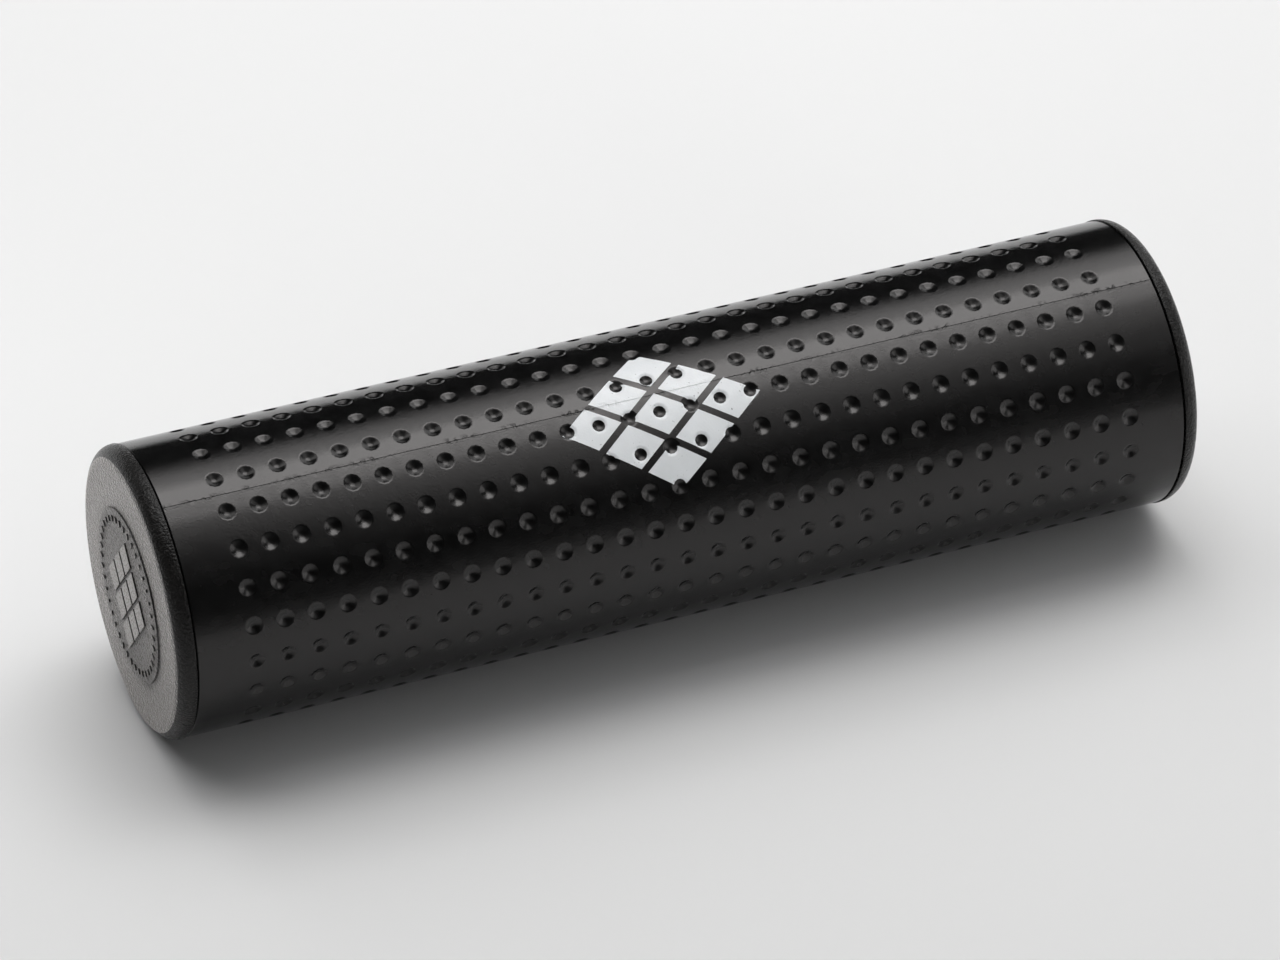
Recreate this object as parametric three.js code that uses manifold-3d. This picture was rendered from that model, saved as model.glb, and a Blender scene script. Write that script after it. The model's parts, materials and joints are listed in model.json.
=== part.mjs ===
// Tube shaker: a dimpled metal tube, two end caps that plug into it, and a charge of loose steel shot.
// Millimetres, +Z up. It lies on its side along X and rests on the rims of its caps at Z = 0.
import * as THREE from 'three';
import { mergeGeometries, mergeVertices } from 'three/addons/utils/BufferGeometryUtils.js';
import Module from 'manifold-3d';

// Metal tube
const tubeDiameter = 60;
const tubeLength = 213.6;
const wallUnderDimple = 0.45;

// Dimples punched into the tube from outside, in straight rows along it
const dimpleRows = 24;
const dimplePitch = 6.53;
const dimpleDiameter = 3.4;
const dimpleDepth = 0.75;
const dimpleSides = 6;
const spigotToDimple = 0.3;

// Moulded end caps
const capProud = 0.2;
const capFlange = 3.7;
const capEdgeRadius = 3.3;
const capEdgeSteps = 4;
const capPlate = 2.8;
const faceRingWidth = 8.8;
const medallionHeight = 0.4;
const spigotLength = 10;
const spigotWall = 1.8;
const capClearance = 0.3;

// Steel shot, lying in files in the grooves between the dimple rows
const filledGrooves = 4;
const ballsPerGroove = 12;
const ballDiameter = 5;
const ballGap = 1.2;
const fileStagger = 4;
const restGap = 0.3;

// Every round surface has two flat sides for each row of dimples, with one side facing straight down.
const sides = 2 * dimpleRows;
const rowAngle = (2 * Math.PI) / dimpleRows;
const flatShare = Math.cos(Math.PI / sides);

const tubeWall = dimpleDepth + wallUnderDimple;
const boreRadius = tubeDiameter / 2 - tubeWall;
const capRadius = tubeDiameter / 2 + capProud;
const axisHeight = capRadius * flatShare;

const wasm = await Module();
wasm.setup();

// Turns a closed profile of [place along the axis, radius] points about the X axis.
function turned(profile) {
  const points = profile.map(([along, radius]) => new THREE.Vector2(radius, along));
  const geometry = new THREE.LatheGeometry(points, sides, -Math.PI / sides);
  return geometry.rotateZ(-Math.PI / 2);
}

function toSolid(geometry) {
  const bare = geometry.clone();
  bare.deleteAttribute('normal');
  bare.deleteAttribute('uv');
  const merged = mergeVertices(bare);
  return new wasm.Manifold(new wasm.Mesh({
    numProp: 3,
    vertProperties: new Float32Array(merged.attributes.position.array),
    triVerts: new Uint32Array(merged.index.array),
  }));
}

function toGeometry(solid) {
  const mesh = solid.getMesh();
  const geometry = new THREE.BufferGeometry();
  geometry.setAttribute('position', new THREE.BufferAttribute(mesh.vertProperties, mesh.numProp));
  geometry.setIndex(new THREE.BufferAttribute(mesh.triVerts, 1));
  return geometry;
}

function plainTube() {
  const end = tubeLength / 2;
  const outer = tubeDiameter / 2;
  return turned([[-end, boreRadius], [-end, outer], [end, outer], [end, boreRadius], [-end, boreRadius]]);
}

// The punches stand out of the tube by a quarter of their depth, and their points reach the dimples' floor.
// The plain band at each end of the tube is what the cap's spigot fills, so no dimple meets the spigot.
function dimplePunches() {
  const surface = (tubeDiameter / 2) * flatShare;
  const punchHeight = 1.25 * dimpleDepth;
  const punchRadius = (dimpleDiameter / 2) * (punchHeight / dimpleDepth);
  const plainBand = spigotLength + spigotToDimple + dimpleDiameter / 2;
  const ringCount = Math.floor((tubeLength - 2 * plainBand) / dimplePitch) + 1;
  const punches = [];
  for (let ring = 0; ring < ringCount; ring++) {
    const along = (ring - (ringCount - 1) / 2) * dimplePitch;
    for (let row = 0; row < dimpleRows; row++) {
      const punch = new THREE.ConeGeometry(punchRadius, punchHeight, dimpleSides);
      punch.rotateX(-Math.PI / 2);
      punch.translate(along, 0, surface - dimpleDepth + punchHeight / 2);
      punch.rotateX(row * rowAngle);
      punches.push(punch);
    }
  }
  return mergeGeometries(punches);
}

// A cap's place along the axis is counted outwards from the end of the tube. Its rounded edge leaves at least
// a narrow straight land on the rim, which the shaker lies on. A round medallion stands proud of its face.
function endCap() {
  const face = capClearance + capFlange;
  const spigotRadius = boreRadius - capClearance;
  const cupRadius = spigotRadius - spigotWall;
  const edge = Math.min(capEdgeRadius, 0.95 * capFlange);
  const profile = [[face - capPlate, 0], [face - capPlate, cupRadius], [-spigotLength, cupRadius]];
  profile.push([-spigotLength, spigotRadius], [capClearance, spigotRadius], [capClearance, capRadius]);
  for (let step = 0; step <= capEdgeSteps; step++) {
    const angle = (step / capEdgeSteps) * (Math.PI / 2);
    const along = face - edge * (1 - Math.sin(angle));
    profile.push([along, capRadius - edge * (1 - Math.cos(angle))]);
  }
  const medallionRadius = capRadius - edge - faceRingWidth;
  const medallionTop = face + medallionHeight;
  profile.push([face, medallionRadius], [medallionTop, medallionRadius], [medallionTop, 0]);
  return turned(profile);
}

// Place of a ball along its groove. Neighbouring files are staggered, and the gaps between balls differ.
function ballPlace(groove, ball) {
  const spacing = ballDiameter + ballGap;
  const stagger = fileStagger * Math.cos(2 * groove);
  const jitter = 0.3 * ballGap * Math.sin(5 * ball + 2 * groove);
  return (ball - (ballsPerGroove - 1) / 2) * spacing + stagger + jitter;
}

const tubeFinish = new THREE.MeshStandardMaterial({ color: 0x17171a, roughness: 0.35, metalness: 0.3 });
const capFinish = new THREE.MeshStandardMaterial({ color: 0x222224, roughness: 0.75, metalness: 0 });
const ballFinish = new THREE.MeshStandardMaterial({ color: 0xb9bcc0, roughness: 0.3, metalness: 1 });

const shaker = new THREE.Group();
shaker.position.z = axisHeight;

function addPiece(name, geometry, material) {
  const piece = new THREE.Mesh(geometry, material);
  piece.name = name;
  shaker.add(piece);
  return piece;
}

const dimpledTube = toSolid(plainTube()).subtract(toSolid(dimplePunches()));
addPiece('dimpled_tube', toGeometry(dimpledTube), tubeFinish);

const rightCap = addPiece('right_end_cap', endCap(), capFinish);
rightCap.position.x = tubeLength / 2;
const leftCap = addPiece('left_end_cap', endCap(), capFinish);
leftCap.position.x = -tubeLength / 2;
leftCap.rotation.z = Math.PI;

// The balls lie against the bore on both sides of its lowest row of dimples, one file to a groove, or to
// every second groove where the balls are wider than the grooves are apart.
const ballOrbit = boreRadius * flatShare - restGap - ballDiameter / 2;
const groovePitch = 2 * ballOrbit * Math.sin(rowAngle / 2);
const grooveStep = Math.ceil((ballDiameter + restGap) / groovePitch);
for (let groove = 0; groove < filledGrooves; groove++) {
  const angle = (0.5 + grooveStep * (groove - Math.floor(filledGrooves / 2))) * rowAngle;
  for (let ball = 0; ball < ballsPerGroove; ball++) {
    const name = `shot_ball_${groove + 1}_${String(ball + 1).padStart(2, '0')}`;
    const piece = addPiece(name, new THREE.IcosahedronGeometry(ballDiameter / 2, 1), ballFinish);
    const across = ballOrbit * Math.sin(angle);
    piece.position.set(ballPlace(groove, ball), across, -ballOrbit * Math.cos(angle));
  }
}

export default shaker;
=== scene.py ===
import json
import math

import bmesh
import bpy
from mathutils import Matrix, Vector


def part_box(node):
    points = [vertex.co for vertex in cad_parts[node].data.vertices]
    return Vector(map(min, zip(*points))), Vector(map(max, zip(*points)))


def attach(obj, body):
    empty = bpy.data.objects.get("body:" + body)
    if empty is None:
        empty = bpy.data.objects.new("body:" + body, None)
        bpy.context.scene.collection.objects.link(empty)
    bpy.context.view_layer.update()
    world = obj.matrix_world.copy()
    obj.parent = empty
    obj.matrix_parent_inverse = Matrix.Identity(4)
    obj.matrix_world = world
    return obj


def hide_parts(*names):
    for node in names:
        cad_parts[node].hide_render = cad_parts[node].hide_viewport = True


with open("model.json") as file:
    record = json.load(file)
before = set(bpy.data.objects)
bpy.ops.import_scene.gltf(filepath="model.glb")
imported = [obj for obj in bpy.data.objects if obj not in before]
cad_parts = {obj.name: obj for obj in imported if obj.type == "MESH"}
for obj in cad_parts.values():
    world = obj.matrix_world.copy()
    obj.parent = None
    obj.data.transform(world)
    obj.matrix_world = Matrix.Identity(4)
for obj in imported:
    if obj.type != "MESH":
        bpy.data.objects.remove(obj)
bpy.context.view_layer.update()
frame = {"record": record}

# Dimpled tube
# A thin aluminium tube, rolled from sheet, joined along a fine seam and coated satin black. Round dimples are
# punched into it from outside in straight rows, so the same rows stand up as bumps in the bore.
tube_low, tube_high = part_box("dimpled_tube")
TUBE_AXIS = Vector((0, 0, (tube_low.z + tube_high.z) / 2))
TUBE_END = tube_high.x
TUBE_RADIUS = 0.0300
TUBE_WALL = 0.0012
TUBE_END_ROUNDING = 0.00015
DIMPLE_ROWS = 24
DIMPLE_RINGS = 30
DIMPLE_PITCH = 0.00653
DIMPLE_DEPTH = 0.00075
DIMPLE_STEPS = 12
# A dimple's section has its points at these shares of the slope at which bowl and rim meet.
BOWL_SHARES = (0, 0.5, 1)
RIM_SHARES = (0.5, 0)
RIM_SLOPE = math.radians(40)
RIM_ROUNDING = 0.0009
BUMP_SHARES = (0, 0.5, 1)
BUMP_FOOT = 0.0023
SEAM_ANGLE = math.radians(22.5)
SEAM_WIDTH = 0.00014
SEAM_DEPTH = 0.00009
SAME_PLACE = 1e-6
SHARP_EDGE = math.radians(40)


def dimple_section():
    """Half section of a dimple, as (radius, height) points: a round bowl, then the rounded rim."""
    both_radii = DIMPLE_DEPTH / (1 - math.cos(RIM_SLOPE))
    bowl_radius = both_radii - RIM_ROUNDING
    points = []
    for slope in [share * RIM_SLOPE for share in BOWL_SHARES]:
        points.append((bowl_radius * math.sin(slope), bowl_radius * (1 - math.cos(slope)) - DIMPLE_DEPTH))
    for slope in [share * RIM_SLOPE for share in RIM_SHARES]:
        radius = both_radii * math.sin(RIM_SLOPE) - RIM_ROUNDING * math.sin(slope)
        points.append((radius, -RIM_ROUNDING * (1 - math.cos(slope))))
    return points


def bump_section():
    """Half section of the bump that a dimple raises in the bore, as (radius, height) points."""
    points = []
    for share in BUMP_SHARES:
        points.append((share * BUMP_FOOT, -DIMPLE_DEPTH * (1 + math.cos(share * math.pi)) / 2))
    return points


def open_edges(bm):
    """The edges that have a face on one side only."""
    return [edge for edge in bm.edges if edge.is_boundary]


def all_parts(bm):
    """Everything in a mesh, as the spin takes it."""
    return bm.verts[:] + bm.edges[:] + bm.faces[:]


def extrude_open_edges(bm):
    """Extrudes the open edges and gives the new points, which lie on the old ones."""
    parts = bmesh.ops.extrude_edge_only(bm, edges=open_edges(bm))["geom"]
    return [part for part in parts if isinstance(part, bmesh.types.BMVert)]


def round_edges(bm, edges, width, segments):
    """Bevels edges to a round profile."""
    bmesh.ops.bevel(bm, geom=edges, offset=width, segments=segments, profile=0.5, affect="EDGES",
                    material=-1)


def spin_profile(bm, points, axis, steps):
    """Turns a chain of points once round an axis through the origin."""
    chain = [bm.verts.new(point) for point in points]
    links = [bm.edges.new(pair) for pair in zip(chain, chain[1:])]
    bmesh.ops.spin(bm, geom=chain + links, cent=(0, 0, 0), axis=axis, angle=math.tau, steps=steps,
                   use_merge=True)
    bmesh.ops.remove_doubles(bm, verts=bm.verts[:], dist=SAME_PLACE)


def dimple_patch(section, radius):
    """One dimple in the middle of its patch of sheet, bent to the radius."""
    patch = bmesh.new()
    spin_profile(patch, [(across, 0, height) for across, height in section], (0, 0, 1), DIMPLE_STEPS)
    rim = open_edges(patch)
    half_length = DIMPLE_PITCH / 2
    half_width = radius * math.pi / DIMPLE_ROWS
    outline = bmesh.ops.create_circle(patch, segments=DIMPLE_STEPS, radius=half_length,
                                      matrix=Matrix.Translation((0, 0, half_length)))["verts"]
    outline_edges = list({edge for point in outline for edge in point.link_edges})
    bmesh.ops.bridge_loops(patch, edges=rim + outline_edges)
    half_step = Matrix.Rotation(math.pi / DIMPLE_STEPS, 3, "Z")
    bmesh.ops.rotate(patch, verts=patch.verts[:], matrix=half_step)
    for point in outline:
        reach = max(abs(point.co.x), abs(point.co.y))
        point.co = (half_length * point.co.x / reach, half_width * point.co.y / reach, 0)
    for point in patch.verts:
        bend = Matrix.Rotation(-point.co.y / radius, 3, "X")
        point.co = bend @ Vector((point.co.x, 0, radius + point.co.z))
    return patch


def dimpled_skin(section, radius):
    """A patch with its dimple, repeated along the tube and round it."""
    skin = dimple_patch(section, radius)
    first_ring = (1 - DIMPLE_RINGS) / 2 * DIMPLE_PITCH
    bmesh.ops.translate(skin, verts=skin.verts[:], vec=(first_ring, 0, 0))
    bmesh.ops.spin(skin, geom=all_parts(skin), axis=(1, 0, 0), dvec=(DIMPLE_PITCH, 0, 0), angle=0,
                   steps=DIMPLE_RINGS - 1, use_duplicate=True)
    bmesh.ops.spin(skin, geom=all_parts(skin), axis=(1, 0, 0), angle=math.tau * (1 - 1 / DIMPLE_ROWS),
                   steps=DIMPLE_ROWS - 1, use_duplicate=True)
    bmesh.ops.remove_doubles(skin, verts=skin.verts[:], dist=SAME_PLACE)
    return skin


def draw_ends_out(skin, along, shrink=0):
    """Draws both open ends of a skin out to a place along the axis, where its radius is smaller by shrink."""
    for point in extrude_open_edges(skin):
        radius = math.hypot(point.co.y, point.co.z)
        scale = (radius - shrink) / radius
        point.co = (math.copysign(along, point.co.x), point.co.y * scale, point.co.z * scale)


def on_seam(point):
    """Whether a point lies on the line of the seam."""
    return abs(math.atan2(-point.co.y, point.co.z) - SEAM_ANGLE) < SAME_PLACE / TUBE_RADIUS


def press_seam(skin):
    """Splits the line between two rows of dimples into a narrow groove."""
    line = [edge for edge in skin.edges if all(on_seam(point) for point in edge.verts)]
    round_edges(skin, line, SEAM_WIDTH / 2, segments=2)
    for point in [point for point in skin.verts if on_seam(point)]:
        scale = 1 - SEAM_DEPTH / TUBE_RADIUS
        point.co = (point.co.x, point.co.y * scale, point.co.z * scale)


def join_skins(outer, inner):
    """Puts the inner skin into the outer one and closes the wall at both ends of the tube."""
    inner_mesh = bpy.data.meshes.new("bore")
    inner.to_mesh(inner_mesh)
    inner.free()
    outer.from_mesh(inner_mesh)
    bpy.data.meshes.remove(inner_mesh)
    loose = open_edges(outer)
    for side in (-1, 1):
        ring = [edge for edge in loose if side * edge.verts[0].co.x > 0]
        bmesh.ops.bridge_loops(outer, edges=ring)


def to_piece(bm, name, materials, place):
    """Makes an object of a finished mesh, with its place in its mesh."""
    bmesh.ops.recalc_face_normals(bm, faces=bm.faces[:])
    bmesh.ops.translate(bm, verts=bm.verts[:], vec=place)
    mesh = bpy.data.meshes.new(name)
    bm.to_mesh(mesh)
    bm.free()
    mesh.shade_smooth()
    mesh.set_sharp_from_angle(angle=SHARP_EDGE)
    for material in materials:
        mesh.materials.append(material)
    piece = bpy.data.objects.new(name, mesh)
    bpy.context.scene.collection.objects.link(piece)
    return piece


def keep_flats_flat(piece):
    """Shades wide faces flat, so that only the narrow roundings between them look round."""
    piece.modifiers.new("flat_faces", "WEIGHTED_NORMAL").keep_sharp = True


def start_material(name):
    """A new material, its node tree and its shader."""
    material = bpy.data.materials.new(name)
    material.use_nodes = True
    return material, material.node_tree, material.node_tree.nodes["Principled BSDF"]


def reckon(tree, operation, *values):
    """One step of arithmetic with numbers, or with what other nodes give."""
    node = tree.nodes.new("ShaderNodeMath")
    node.operation = operation
    for socket, value in zip(node.inputs, values):
        if isinstance(value, bpy.types.NodeSocket):
            tree.links.new(value, socket)
        else:
            socket.default_value = value
    return node.outputs["Value"]


def place_from_axis(tree):
    """Object coordinates counted from the middle of the tube's axis."""
    mapping = tree.nodes.new("ShaderNodeMapping")
    mapping.inputs["Location"].default_value = -TUBE_AXIS
    tree.links.new(tree.nodes.new("ShaderNodeTexCoord").outputs["Object"], mapping.inputs["Vector"])
    return mapping.outputs["Vector"]


def round_axis(tree, place):
    """How far along the axis a point lies, its angle from the top towards the front, and its radius."""
    parts = tree.nodes.new("ShaderNodeSeparateXYZ")
    tree.links.new(place, parts.inputs["Vector"])
    along, across, height = parts.outputs
    angle = reckon(tree, "ARCTAN2", reckon(tree, "MULTIPLY", across, -1), height)
    square = reckon(tree, "MULTIPLY_ADD", across, across, reckon(tree, "MULTIPLY", height, height))
    return along, angle, reckon(tree, "SQRT", square)


def clouds(tree, place, size, detail=2):
    """Noise from 0 to 1, with lumps of about this size."""
    node = tree.nodes.new("ShaderNodeTexNoise")
    node.inputs["Scale"].default_value = 1 / size
    node.inputs["Detail"].default_value = detail
    tree.links.new(place, node.inputs["Vector"])
    return node.outputs["Fac"]


def spread(tree, value, given, wanted):
    """Takes a value from the given range to the wanted one."""
    node = tree.nodes.new("ShaderNodeMapRange")
    names = ("From Min", "From Max", "To Min", "To Max")
    for name, limit in zip(names, (*given, *wanted)):
        node.inputs[name].default_value = limit
    tree.links.new(value, node.inputs["Value"])
    return node.outputs["Result"]


def two_colours(tree, share, first, second):
    """Goes from the first colour to the second as share goes from 0 to 1."""
    node = tree.nodes.new("ShaderNodeValToRGB")
    for stop, colour in zip(node.color_ramp.elements, (first, second)):
        stop.color = (*colour, 1)
    tree.links.new(share, node.inputs["Fac"])
    return node.outputs["Color"]


def relief(tree, height, depth, under=None):
    """Bump as deep as this where the height goes from 0 to 1, laid over another bump."""
    node = tree.nodes.new("ShaderNodeBump")
    node.inputs["Distance"].default_value = depth
    tree.links.new(height, node.inputs["Height"])
    if under:
        tree.links.new(under, node.inputs["Normal"])
    return node.outputs["Normal"]


COAT_BLACK = (0.0008, 0.0008, 0.0008)
COAT_SHINE = (1.0, 0.965, 0.955)
COAT_IOR = 1.5
DUST_SIZE = 0.003
DUST_SHARE = 0.004
# Over this turn away from the eye, the coat's roughness goes from the first value to the second.
SATIN_TURN = (0.15, 0.75)
SATIN_ROUGHNESS = (0.26, 0.13)
BOWL_ROUGHER = 1.15
BOWL_FINISH_DEPTH = 0.0001
PATCH_SIZE = 0.006
PATCH_ROUGHNESS = (0.92, 1.08)
PEEL_SIZE = 0.0012
PEEL_DEPTH = 0.000012
SAND_SIZE = 0.0004
SAND_DEPTH = 0.000026
PIT_REACH = 0.0009
PIT_SIZE = 0.0011
PIT_LIMITS = (0.5, 0.62)
PIT_DEPTH = 0.00014
PITTED_LENGTH = 0.010
PITTED_LIMITS = (0.42, 0.56)
PITTED_LEAST = 0.25
INK_WHITE = (0.65, 0.67, 0.685)
INK_EDGE = 0.0003
INK_ROUGHER = 0.12
INK_COVER = (0.93, 1)
INK_CLOUD_SIZE = 0.004
INK_HOLE_SIZE = 0.0005
INK_HOLE_LIMIT = 0.72
PRINT_MIDDLE = -0.003
PRINT_ANGLE = math.radians(31)
PRINT_HALF_LENGTH = 0.0225
PRINT_HALF_ANGLE = math.radians(32)
PRINT_CELLS = 3
PRINT_GAP = 0.16
# Most of a noise, and nearly all of it, lies between these values.
MOST_CLOUDS = (0.3, 0.7)
ALL_CLOUDS = (0.25, 0.75)


def lozenge_print(tree, along, angle, radius):
    """1 where the ink lies: a lozenge of smaller ones, on the skin between the dimples."""
    inked = reckon(tree, "GREATER_THAN", radius, TUBE_RADIUS - INK_EDGE)
    half = PRINT_CELLS / 2
    from_middle = reckon(tree, "SUBTRACT", along, PRINT_MIDDLE)
    from_angle = reckon(tree, "SUBTRACT", angle, PRINT_ANGLE)
    cells_along = reckon(tree, "MULTIPLY", from_middle, half / PRINT_HALF_LENGTH)
    cells_round = reckon(tree, "MULTIPLY", from_angle, half / PRINT_HALF_ANGLE)
    for operation in ("ADD", "SUBTRACT"):
        slant = reckon(tree, "ABSOLUTE", reckon(tree, operation, cells_along, cells_round))
        inside = reckon(tree, "LESS_THAN", slant, half - PRINT_GAP / 2)
        from_line = reckon(tree, "ABSOLUTE", reckon(tree, "SUBTRACT", slant, half - 1))
        off_line = reckon(tree, "GREATER_THAN", from_line, PRINT_GAP / 2)
        inked = reckon(tree, "MULTIPLY", inked, reckon(tree, "MULTIPLY", inside, off_line))
    return inked


def coat_colour(tree, place, ink):
    """Black with a trace of dust, and the ink, thinner in places and with pinholes in it."""
    whole = reckon(tree, "LESS_THAN", clouds(tree, place, INK_HOLE_SIZE, detail=3), INK_HOLE_LIMIT)
    cover = spread(tree, clouds(tree, place, INK_CLOUD_SIZE), MOST_CLOUDS, INK_COVER)
    ink_share = reckon(tree, "MULTIPLY", reckon(tree, "MULTIPLY", ink, whole), cover)
    dust_share = spread(tree, clouds(tree, place, DUST_SIZE), MOST_CLOUDS, (0, DUST_SHARE))
    return two_colours(tree, reckon(tree, "MAXIMUM", ink_share, dust_share), COAT_BLACK, INK_WHITE)


def coat_roughness(tree, place, radius, ink):
    """Patchy satin, rougher in the dimples and on the ink."""
    facing = tree.nodes.new("ShaderNodeLayerWeight").outputs["Facing"]
    satin = spread(tree, facing, SATIN_TURN, SATIN_ROUGHNESS)
    bowls = spread(tree, radius, (TUBE_RADIUS - BOWL_FINISH_DEPTH, TUBE_RADIUS), (BOWL_ROUGHER, 1))
    patches = spread(tree, clouds(tree, place, PATCH_SIZE, detail=4), ALL_CLOUDS, PATCH_ROUGHNESS)
    coat = reckon(tree, "MULTIPLY", satin, reckon(tree, "MULTIPLY", bowls, patches))
    return reckon(tree, "MULTIPLY_ADD", ink, INK_ROUGHER, coat)


def seam_pits(tree, place, angle):
    """Up to 1 in the pits along stretches of the seam, where the rolled edges of the sheet met."""
    from_seam = reckon(tree, "ABSOLUTE", reckon(tree, "SUBTRACT", angle, SEAM_ANGLE))
    near = spread(tree, from_seam, (0, PIT_REACH / TUBE_RADIUS), (1, 0))
    pits = spread(tree, clouds(tree, place, PIT_SIZE, detail=4), PIT_LIMITS, (0, 1))
    stretches = spread(tree, clouds(tree, place, PITTED_LENGTH), PITTED_LIMITS, (PITTED_LEAST, 1))
    return reckon(tree, "MULTIPLY", near, reckon(tree, "MULTIPLY", pits, stretches))


def coat_relief(tree, place, angle):
    """Soft peel with fine grain on it, and the pits along the seam."""
    peel = relief(tree, clouds(tree, place, PEEL_SIZE), PEEL_DEPTH)
    sand = relief(tree, clouds(tree, place, SAND_SIZE, detail=3), SAND_DEPTH, under=peel)
    unpitted = reckon(tree, "SUBTRACT", 1, seam_pits(tree, place, angle))
    return relief(tree, unpitted, PIT_DEPTH, under=sand)


def coated_metal():
    """The satin black coat with the white print on it."""
    material, tree, shader = start_material("satin_black_coat")
    place = place_from_axis(tree)
    along, angle, radius = round_axis(tree, place)
    ink = lozenge_print(tree, along, angle, radius)
    tree.links.new(coat_colour(tree, place, ink), shader.inputs["Base Color"])
    tree.links.new(coat_roughness(tree, place, radius, ink), shader.inputs["Roughness"])
    tree.links.new(coat_relief(tree, place, angle), shader.inputs["Normal"])
    shader.inputs["IOR"].default_value = COAT_IOR
    shader.inputs["Specular Tint"].default_value = (*COAT_SHINE, 1)
    return material


outer_skin = dimpled_skin(dimple_section(), TUBE_RADIUS)
draw_ends_out(outer_skin, TUBE_END - TUBE_END_ROUNDING)
press_seam(outer_skin)
draw_ends_out(outer_skin, TUBE_END, shrink=TUBE_END_ROUNDING)
draw_ends_out(outer_skin, TUBE_END, shrink=TUBE_WALL - TUBE_END_ROUNDING)
inner_skin = dimpled_skin(bump_section(), TUBE_RADIUS - TUBE_WALL)
join_skins(outer_skin, inner_skin)
tube = to_piece(outer_skin, "coated_tube", [coated_metal()], TUBE_AXIS)
keep_flats_flat(tube)
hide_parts("dimpled_tube")
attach(tube, "shaker_shell")

# End caps
# Two alike plugs moulded in black plastic, pressed into the tube's ends by the rings behind their flanges.
# They have a pebbled grain, and a round medallion with smooth raised lozenges and pips stands on the face.
cap_low, cap_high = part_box("right_end_cap")
MEDALLION_TOP = cap_high.x
MEDALLION_HEIGHT = 0.0004
MEDALLION_RADIUS = 0.0181
CAP_FACE = MEDALLION_TOP - MEDALLION_HEIGHT
CAP_SPIGOT_END = cap_low.x
CAP_RADIUS = 0.0302
CAP_FLANGE = 0.0037
CAP_EDGE_ROUNDING = 0.0033
CAP_EDGE_SEGMENTS = 8
CAP_PLATE = 0.0028
CAP_SPIGOT_RADIUS = 0.0285
CAP_CUP_RADIUS = 0.0267
CAP_SMALL_ROUNDING = 0.00015
CAP_SMALL_SEGMENTS = 2
CAP_STEPS = 120
LAND_RAISE = 0.0003
LAND_ROUNDING = 0.0001
EMBLEM_HALF_LENGTH = 0.0115
EMBLEM_HALF_HEIGHT = 0.0135
EMBLEM_CELLS = 3
EMBLEM_GAP = 0.0012
PIP_OUTSIDE = 0.0166
PIP_INSIDE = 0.0152
PIP_EVERY = 3
PIP_GAP = 0.0003


def round_ring(cap, along, radius, rounding, segments):
    """Rounds the ring-shaped edge at a place along the axis and a radius."""
    def on_ring(point):
        off = abs(math.hypot(point.co.y, point.co.z) - radius)
        return abs(point.co.x - along) < SAME_PLACE and off < SAME_PLACE

    ring = [edge for edge in cap.edges if all(on_ring(point) for point in edge.verts)]
    round_edges(cap, ring, rounding, segments)


def raise_lands(cap, faces, gap):
    """Raises each of these faces as a small flat land with rounded edges, and leaves a gap between them."""
    bmesh.ops.inset_individual(cap, faces=faces, thickness=gap / 2)
    raised = bmesh.ops.extrude_discrete_faces(cap, faces=faces)["faces"]
    tops = list({point for face in raised for point in face.verts})
    bmesh.ops.translate(cap, verts=tops, vec=(LAND_RAISE, 0, 0))
    top_edges = list({edge for face in raised for edge in face.edges})
    round_edges(cap, top_edges, LAND_ROUNDING, CAP_SMALL_SEGMENTS)


def raise_pips(cap):
    """Raises a ring of small pips near the edge of the medallion."""
    pips = []
    for face in cap.faces:
        middle = face.calc_center_median()
        step = math.atan2(middle.y, middle.z) / math.tau * CAP_STEPS
        on_top = abs(middle.x - MEDALLION_TOP) < SAME_PLACE
        in_ring = PIP_INSIDE < math.hypot(middle.y, middle.z) < PIP_OUTSIDE
        if on_top and in_ring and math.floor(step) % PIP_EVERY == 0:
            pips.append(face)
    raise_lands(cap, pips, PIP_GAP)


def raise_emblem(cap):
    """Closes the top of the medallion and raises the lozenges on it."""
    grid = bmesh.ops.create_grid(cap, x_segments=EMBLEM_CELLS, y_segments=EMBLEM_CELLS,
                                 size=math.sqrt(0.5))["verts"]
    turn = Matrix.Rotation(math.radians(45), 4, "Z")
    scale = Matrix.Diagonal((EMBLEM_HALF_HEIGHT, EMBLEM_HALF_LENGTH, 1, 1))
    stand = Matrix.Rotation(math.radians(90), 4, "Y")
    bmesh.ops.transform(cap, verts=grid, matrix=stand @ scale @ turn)
    cells = list({face for point in grid for face in point.link_faces})
    bmesh.ops.bridge_loops(cap, edges=open_edges(cap))
    bmesh.ops.translate(cap, verts=grid, vec=(MEDALLION_TOP, 0, 0))
    raise_lands(cap, cells, EMBLEM_GAP)


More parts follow.
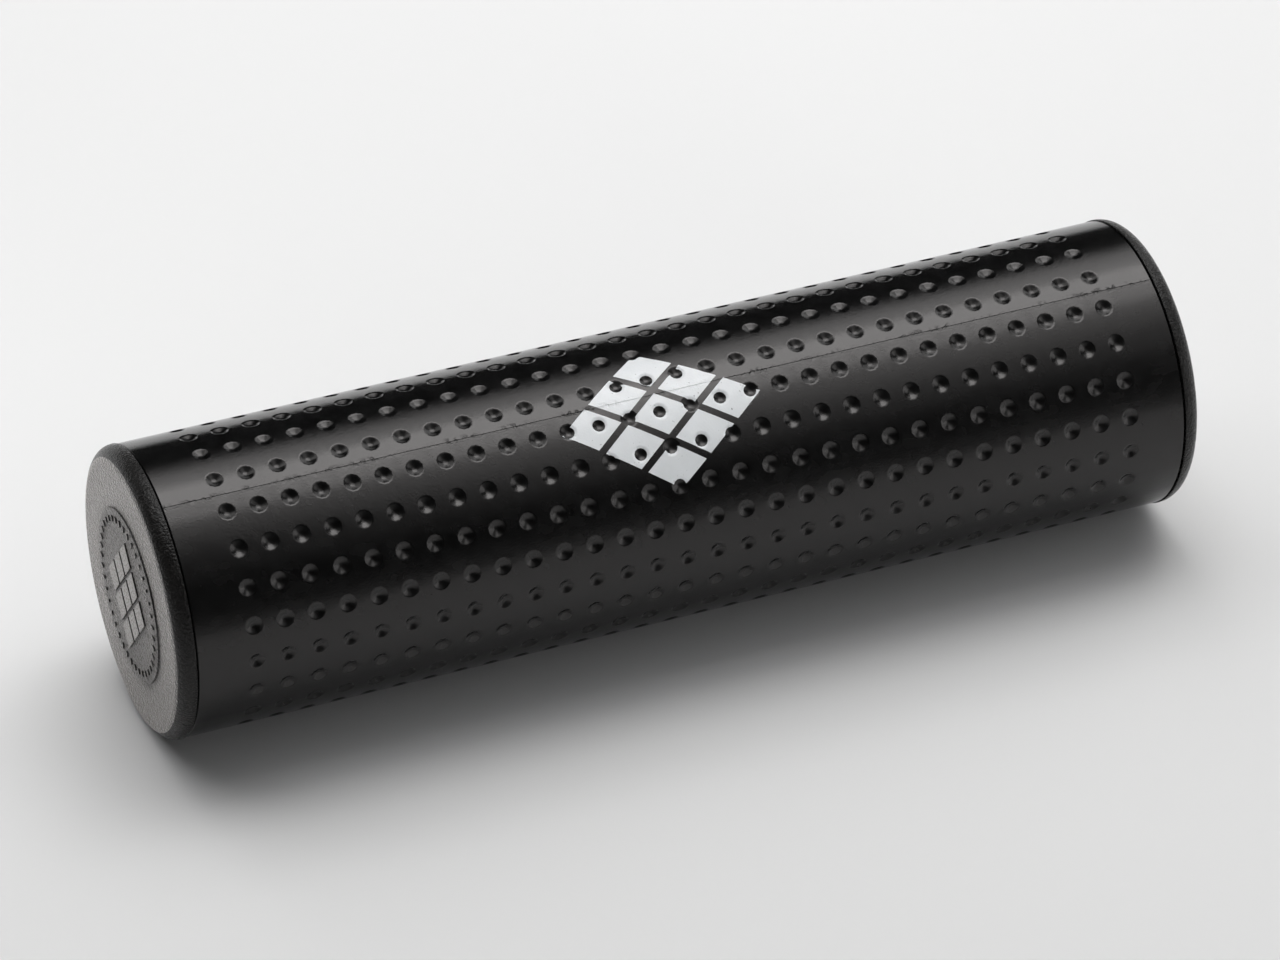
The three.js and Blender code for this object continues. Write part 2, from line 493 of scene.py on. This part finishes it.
def end_cap():
    """The right-hand cap, shaped about the axis."""
    cap = bmesh.new()
    seat = CAP_FACE - CAP_FLANGE
    inside = CAP_FACE - CAP_PLATE
    cup = [(inside, CAP_CUP_RADIUS), (CAP_SPIGOT_END, CAP_CUP_RADIUS)]
    spigot = [(CAP_SPIGOT_END, CAP_SPIGOT_RADIUS), (seat, CAP_SPIGOT_RADIUS), (seat, CAP_RADIUS)]
    edge = (CAP_FACE, CAP_RADIUS)
    medallion = [(CAP_FACE, MEDALLION_RADIUS), (MEDALLION_TOP, MEDALLION_RADIUS)]
    pip_ring = [(MEDALLION_TOP, PIP_OUTSIDE), (MEDALLION_TOP, PIP_INSIDE)]
    section = [(inside, 0), *cup, *spigot, edge, *medallion, *pip_ring]
    spin_profile(cap, [(along, 0, radius) for along, radius in section], (1, 0, 0), CAP_STEPS)
    raise_pips(cap)
    raise_emblem(cap)
    round_ring(cap, *edge, CAP_EDGE_ROUNDING, CAP_EDGE_SEGMENTS)
    for along, radius in cup + spigot + medallion:
        round_ring(cap, along, radius, CAP_SMALL_ROUNDING, CAP_SMALL_SEGMENTS)
    return cap


CAP_BLACK = (0.005, 0.0048, 0.0047)
# The grey to which the tops of the grain are painted: painted light on black plastic.
CAP_PAINTED_LIGHT_GREY = (0.077, 0.071, 0.067)
CAP_BLOOM = (1.0, 0.94, 0.90)
BLOOM_ROUGHNESS = 0.3
PEBBLE_SIZE = 0.0005
PAINTED_GLINT_RANGE = (0.38, 0.68)
PEBBLE_ROUGHNESS = 0.08
# The face's finish, painted lighter than the rim, runs on to this point of the rounded edge, where the rim's
# finish in painted shade begins.
FACE_TURN = math.radians(22.5)
FACE_RADIUS = CAP_RADIUS - CAP_EDGE_ROUNDING * (1 - math.sin(FACE_TURN))
FACE_FINISH, MEDALLION_FINISH, LAND_FINISH, RIM_FINISH = range(4)


def moulded_plastic(name, grain_depth, painted_lightness, roughness, ior, bloom):
    """Black plastic with the grain of its part of the mould, glossier on the tops of the grain. The tops are
    painted paler, a painted glint, and the pits darker, painted shade.
    """
    material, tree, shader = start_material(name)
    pebbles = clouds(tree, place_from_axis(tree), PEBBLE_SIZE)
    # Painted light: the tops of the grain are painted pale grey as if catching light, and its pits dark as if
    # in shade.
    tops = spread(tree, pebbles, PAINTED_GLINT_RANGE, (0, painted_lightness))
    tree.links.new(two_colours(tree, tops, CAP_BLACK, CAP_PAINTED_LIGHT_GREY), shader.inputs["Base Color"])
    rough_to_glossy = (roughness + PEBBLE_ROUGHNESS, roughness - PEBBLE_ROUGHNESS)
    tree.links.new(spread(tree, pebbles, MOST_CLOUDS, rough_to_glossy), shader.inputs["Roughness"])
    tree.links.new(relief(tree, pebbles, grain_depth), shader.inputs["Normal"])
    shader.inputs["IOR"].default_value = ior
    shader.inputs["Sheen Weight"].default_value = bloom
    shader.inputs["Sheen Roughness"].default_value = BLOOM_ROUGHNESS
    shader.inputs["Sheen Tint"].default_value = (*CAP_BLOOM, 1)
    return material


# Each part's painted lightness paints how light falls on the one black plastic: the face and the smooth
# lozenges lighter as if lit, the medallion darker, and the rim darkest, as painted shade.
cap_finishes = [
    moulded_plastic("pebbled_face_plastic", grain_depth=0.00030, painted_lightness=0.6,
                    roughness=0.22, ior=1.7, bloom=1),
    moulded_plastic("pebbled_medallion_plastic", grain_depth=0.00036, painted_lightness=0.4,
                    roughness=0.30, ior=1.45, bloom=0.6),
    moulded_plastic("smooth_lozenge_plastic", grain_depth=0.00002, painted_lightness=1,
                    roughness=0.28, ior=1.5, bloom=1),
    moulded_plastic("pebbled_rim_plastic", grain_depth=0.00028, painted_lightness=0.15,
                    roughness=0.24, ior=1.3, bloom=0),
]


def choose_finishes(cap):
    """Tells apart the face, the medallion, the tops of what is raised on it, and the rim."""
    for face in cap.faces:
        middle = face.calc_center_median()
        if middle.x > MEDALLION_TOP + LAND_RAISE / 2:
            face.material_index = LAND_FINISH
        elif middle.x > CAP_FACE + MEDALLION_HEIGHT / 2:
            face.material_index = MEDALLION_FINISH
        elif math.hypot(middle.y, middle.z) > FACE_RADIUS:
            face.material_index = RIM_FINISH
        else:
            face.material_index = FACE_FINISH


for side, hand in ((-1, "left"), (1, "right")):
    blank = end_cap()
    choose_finishes(blank)
    bmesh.ops.scale(blank, verts=blank.verts[:], vec=(side, 1, 1))
    cap = to_piece(blank, hand + "_moulded_cap", cap_finishes, TUBE_AXIS)
    keep_flats_flat(cap)
    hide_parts(hand + "_end_cap")
    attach(cap, "shaker_shell")

# Steel shot
# Loose steel balls that run along the grooves between the rows of bumps and strike the caps. They are headed
# from wire and tumbled, so each keeps two small flats and a faint belt where the two dies met.
SHOT_RADIUS = 0.0025
SHOT_FLAT = math.radians(14)
SHOT_BELT = 0.00003
SHOT_BANDS = 12
SHOT_STEPS = 24
SHOT_TURN = math.radians(137.5)
STEEL_BRIGHT = (0.52, 0.53, 0.55)
STEEL_DULL = (0.36, 0.36, 0.37)
STEEL_ROUGHNESS = (0.18, 0.38)
TUMBLE_MARK_SIZE = 0.0015
TUMBLE_MARK_LIMITS = (0.35, 0.7)
TUMBLE_GRAIN_SIZE = 0.0004
TUMBLE_GRAIN_DEPTH = 0.000008


def shot_section():
    """Half section of a ball from flat to flat, with the belt at its middle."""
    points = [(0, SHOT_RADIUS * math.cos(SHOT_FLAT))]
    for band in range(SHOT_BANDS + 1):
        angle = SHOT_FLAT + band / SHOT_BANDS * (math.pi - 2 * SHOT_FLAT)
        radius = SHOT_RADIUS - (0 if band == SHOT_BANDS / 2 else SHOT_BELT)
        points.append((radius * math.sin(angle), radius * math.cos(angle)))
    return points + [(0, -SHOT_RADIUS * math.cos(SHOT_FLAT))]


def tumbled_steel():
    """Bright steel with dull tumbling marks."""
    material, tree, shader = start_material("tumbled_steel")
    place = place_from_axis(tree)
    dull = spread(tree, clouds(tree, place, TUMBLE_MARK_SIZE, detail=3), TUMBLE_MARK_LIMITS, (0, 1))
    tree.links.new(two_colours(tree, dull, STEEL_BRIGHT, STEEL_DULL), shader.inputs["Base Color"])
    tree.links.new(spread(tree, dull, (0, 1), STEEL_ROUGHNESS), shader.inputs["Roughness"])
    grain = clouds(tree, place, TUMBLE_GRAIN_SIZE)
    tree.links.new(relief(tree, grain, TUMBLE_GRAIN_DEPTH), shader.inputs["Normal"])
    shader.inputs["Metallic"].default_value = 1
    return material


steel = tumbled_steel()
balls = [(body, node) for body, nodes in frame["record"]["behaviour"]["bodies"].items()
         for node in nodes if node.startswith("shot_ball")]
for number, (body, node) in enumerate(balls):
    low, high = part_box(node)
    ball = bmesh.new()
    spin_profile(ball, [(across, 0, height) for across, height in shot_section()], (0, 0, 1), SHOT_STEPS)
    tumble = Matrix.Rotation(number * SHOT_TURN, 3, "X") @ Matrix.Rotation(number, 3, "Y")
    bmesh.ops.rotate(ball, verts=ball.verts[:], matrix=tumble)
    shot = to_piece(ball, node.replace("shot_ball", "headed_ball"), [steel], (low + high) / 2)
    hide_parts(node)
    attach(shot, body)

# Studio
# A pale paper floor that rises gently far away, in a dim room with softboxes over the shaker and cards at its
# sides. Lamps high up that face outwards keep the far floor pale. The camera stands as in the photograph.
FLOOR_WHITE = (0.70, 0.70, 0.70)
FLOOR_ROUGHNESS = 0.9
FLOOR_RADIUS = 2.0
FLOOR_REACH = 5.0
FLOOR_RISE = 0.35
FLOOR_STEPS = 96
ROOM_GREY = (0.015, 0.015, 0.015)

floor_mesh = bmesh.new()
bmesh.ops.create_circle(floor_mesh, cap_ends=True, segments=FLOOR_STEPS, radius=FLOOR_RADIUS)
for point in extrude_open_edges(floor_mesh):
    point.co = (*(point.co.xy * FLOOR_REACH / FLOOR_RADIUS), FLOOR_RISE)
floor_paper, _, floor_shader = start_material("pale_paper")
floor_shader.inputs["Base Color"].default_value = (*FLOOR_WHITE, 1)
floor_shader.inputs["Roughness"].default_value = FLOOR_ROUGHNESS
floor_shader.inputs["Specular IOR Level"].default_value = 0
floor = to_piece(floor_mesh, "floor", [floor_paper], TUBE_AXIS - Vector((0, 0, CAP_RADIUS)))

room = bpy.data.worlds.new("dim_room")
room.use_nodes = True
room.node_tree.nodes["Background"].inputs["Color"].default_value = (*ROOM_GREY, 1)
bpy.context.scene.world = room


def softbox(name, place, aim, size, radiance, reflected=True, cone=180):
    """A rectangular lamp that faces a point. It shows in reflections too, or only lights."""
    lamp = bpy.data.lights.new(name, "AREA")
    lamp.shape = "RECTANGLE"
    lamp.size, lamp.size_y = size
    lamp.energy = radiance * math.pi * size[0] * size[1]
    lamp.spread = math.radians(cone)
    box = bpy.data.objects.new(name, lamp)
    bpy.context.scene.collection.objects.link(box)
    box.location = place
    box.rotation_euler = (Vector(aim) - Vector(place)).to_track_quat("-Z", "Y").to_euler()
    box.visible_camera = False
    box.visible_glossy = reflected


def over_tube(name, along, turn, distance, size, radiance):
    """A softbox above the tube, turned about its axis from straight up towards the camera's side."""
    aim = TUBE_AXIS + Vector((along, 0, 0))
    up = Vector((0, -math.sin(math.radians(turn)), math.cos(math.radians(turn))))
    softbox(name, aim + distance * up, aim, size, radiance)


# The boxes over the tube make the long highlight on its upper side, and the cards light the walls of the
# dimples. The lamps that aren't reflected lift the floor behind the tube, the print and the near cap.
over_tube("key", along=0.28, turn=-13, distance=1.0, size=(0.85, 0.40), radiance=2.9)
over_tube("key_surround", along=0.28, turn=-15, distance=1.05, size=(1.05, 0.95), radiance=1.9)
over_tube("front_panel", along=0.50, turn=26, distance=1.05, size=(0.60, 0.90), radiance=0.5)
over_tube("front_tail", along=0.45, turn=15, distance=1.1, size=(0.70, 0.40), radiance=0.7)
softbox("left_card", (-0.60, 0.45, 0.95), TUBE_AXIS, size=(0.6, 0.6), radiance=1.5)
softbox("right_card", (1.05, -0.55, 0.30), TUBE_AXIS, size=(0.8, 0.8), radiance=1.3)
softbox("back_lamp", (-0.05, 0.60, 0.55), (-0.05, 0.15, 0), size=(0.6, 0.6), radiance=2.0,
        reflected=False)
softbox("right_back_card", (0.95, 0.60, 0.65), TUBE_AXIS, size=(0.8, 0.8), radiance=1.2)
softbox("front_fill", (0.15, -1.1, 0.14), TUBE_AXIS, size=(0.6, 0.2), radiance=0.75,
        reflected=False, cone=40)
softbox("cap_lamp", (-0.18, 0.10, 0.17), (-0.125, 0.02, 0.05), size=(0.15, 0.15), radiance=1.2,
        reflected=False)

FAR_LAMP_TURNS = (0, 60, 120, 180)
FAR_LAMP_RADIUS = 0.5
FAR_LAMP_HEIGHT = 2.2
FAR_LAMP_SIZE = (1, 1)
FAR_LAMP_RADIANCE = 32
for turn in FAR_LAMP_TURNS:
    outward = Matrix.Rotation(math.radians(turn), 3, "Z") @ Vector((1, 0, 0))
    place = FAR_LAMP_RADIUS * outward + Vector((0, 0, FAR_LAMP_HEIGHT))
    softbox(f"far_lamp_{turn}", place, place + outward, FAR_LAMP_SIZE, FAR_LAMP_RADIANCE, reflected=False)

VIEW_AZIMUTH = math.radians(-22.232)
VIEW_ELEVATION = math.radians(35.185)
VIEW_LENS = 196.7
# The camera's place from the middle of the tube, along its own axes: right, up and back.
VIEW_PLACE = Vector((-0.001284, -0.001245, 1.4226))

lens = bpy.data.cameras.new("camera")
lens.lens = VIEW_LENS
camera = bpy.data.objects.new("camera", lens)
bpy.context.scene.collection.objects.link(camera)
camera.rotation_euler = (math.pi / 2 - VIEW_ELEVATION, 0, VIEW_AZIMUTH)
camera.location = TUBE_AXIS + camera.rotation_euler.to_matrix() @ VIEW_PLACE
bpy.context.scene.camera = camera
bpy.context.scene.view_settings.view_transform = "Standard"
